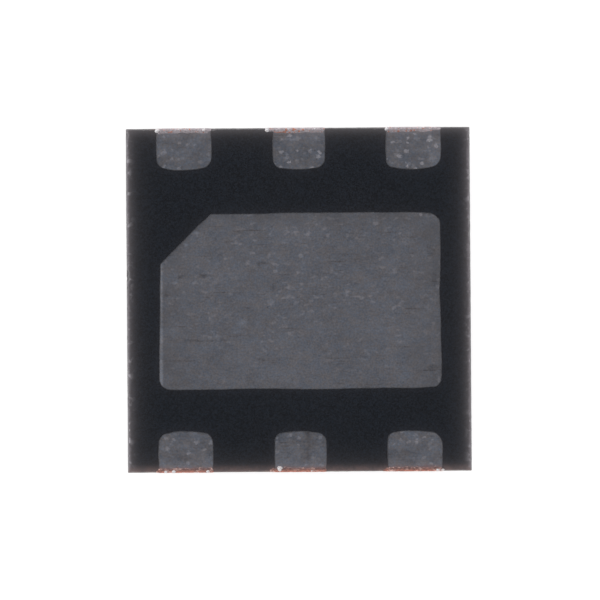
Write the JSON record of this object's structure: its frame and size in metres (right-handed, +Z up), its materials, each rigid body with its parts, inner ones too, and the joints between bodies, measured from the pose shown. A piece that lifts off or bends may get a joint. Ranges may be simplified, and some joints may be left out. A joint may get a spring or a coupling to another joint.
{
  "type": "dual flat no-lead chip",
  "caption": "Small square moulded chip package with flat solder lands along two opposite edges and a large exposed thermal pad between them, one pad corner cut to mark the first terminal.",
  "frame": {"origin": "centre of the flat moulded face that the part lies on, opposite the lands", "axes": "+Z up out of the land plane, +Y towards the edge with terminals 1 to 3, +X from terminal 1 to terminal 3, so the cut pad corner is at -X +Y"},
  "size_m": [0.002, 0.002, 0.0008],
  "materials": {
    "mould_compound": "matte black filled epoxy, saw-cut on the sides",
    "tin_plated_copper": "matte tin over copper, faintly streaked, bare copper on the sawn ends",
    "die_adhesive": "cured silver-filled adhesive",
    "silicon": "polished silicon",
    "bond_copper": "bare drawn copper wire"
  },
  "bodies": {
    "root": {"mould_body": "mould_compound", "thermal_pad": "tin_plated_copper", "terminal_1": "tin_plated_copper", "terminal_2": "tin_plated_copper", "terminal_3": "tin_plated_copper", "terminal_4": "tin_plated_copper", "terminal_5": "tin_plated_copper", "terminal_6": "tin_plated_copper", "die_attach": "die_adhesive", "silicon_die": "silicon", "bond_wire_1": "bond_copper", "bond_wire_2": "bond_copper", "bond_wire_3": "bond_copper", "bond_wire_4": "bond_copper", "bond_wire_5": "bond_copper", "bond_wire_6": "bond_copper"}
  },
  "joints": []
}
